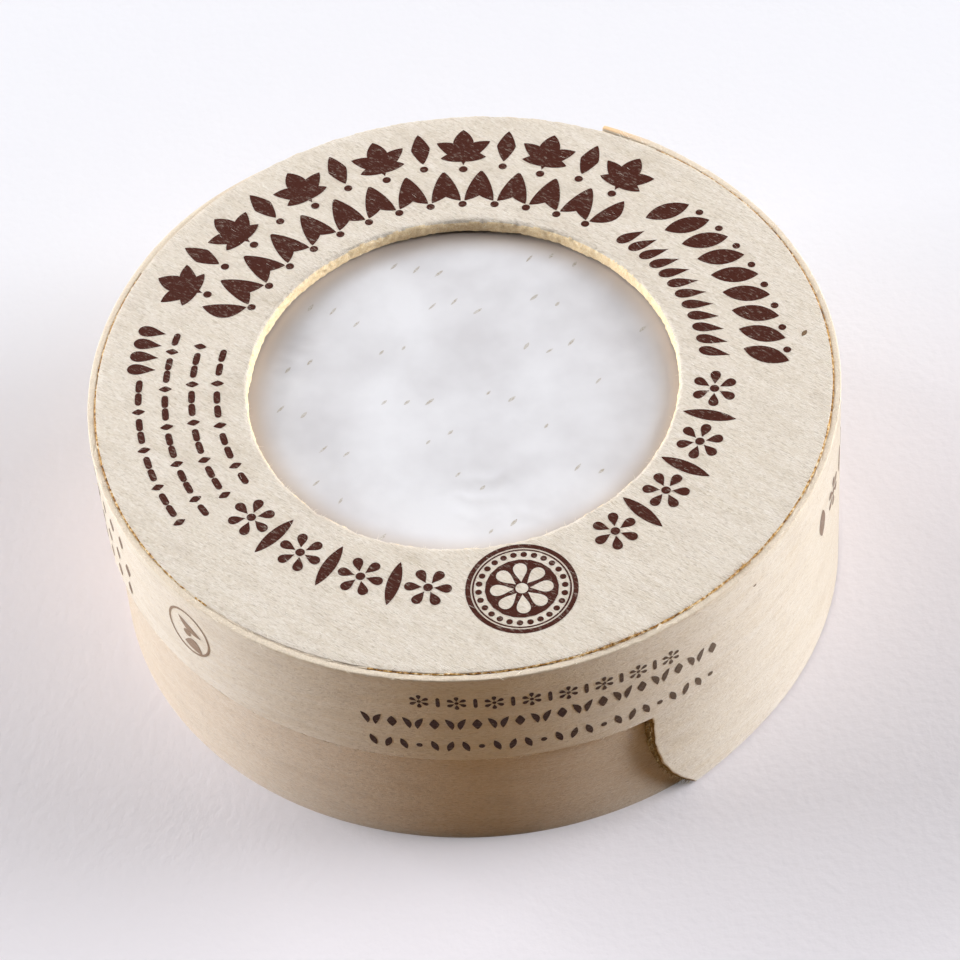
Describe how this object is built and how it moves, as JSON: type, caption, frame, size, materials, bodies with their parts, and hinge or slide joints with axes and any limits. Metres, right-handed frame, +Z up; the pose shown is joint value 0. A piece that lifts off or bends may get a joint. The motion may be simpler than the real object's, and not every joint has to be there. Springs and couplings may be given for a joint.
{
  "type": "boxed camembert wheel",
  "caption": "Paper-wrapped soft cheese wheel in its shut round poplar box, with a round window in the lid and a bent wood strip lapped round it.",
  "frame": {"origin": "middle of the underside, where the box stands on the table", "axes": "+Z up through the middle of the lid's window; the lid strip's free tongue is at the front right (-Y, +X) and its lapped end at the back right"},
  "size_m": [0.1124, 0.1124, 0.04],
  "materials": {
    "poplar_disc": "bare peeled poplar, dry and slightly fuzzy",
    "poplar_strip": "bare bent poplar veneer, satin",
    "poplar_base": "bare bent poplar veneer, satin",
    "wrapping_paper": "soft white waxed cheese paper, semi-gloss"
  },
  "bodies": {
    "root": {"base_disc": "poplar_base", "base_band": "poplar_base", "lid_ring": "poplar_disc", "lid_band": "poplar_strip", "wrapped_cheese": "wrapping_paper"}
  },
  "joints": []
}
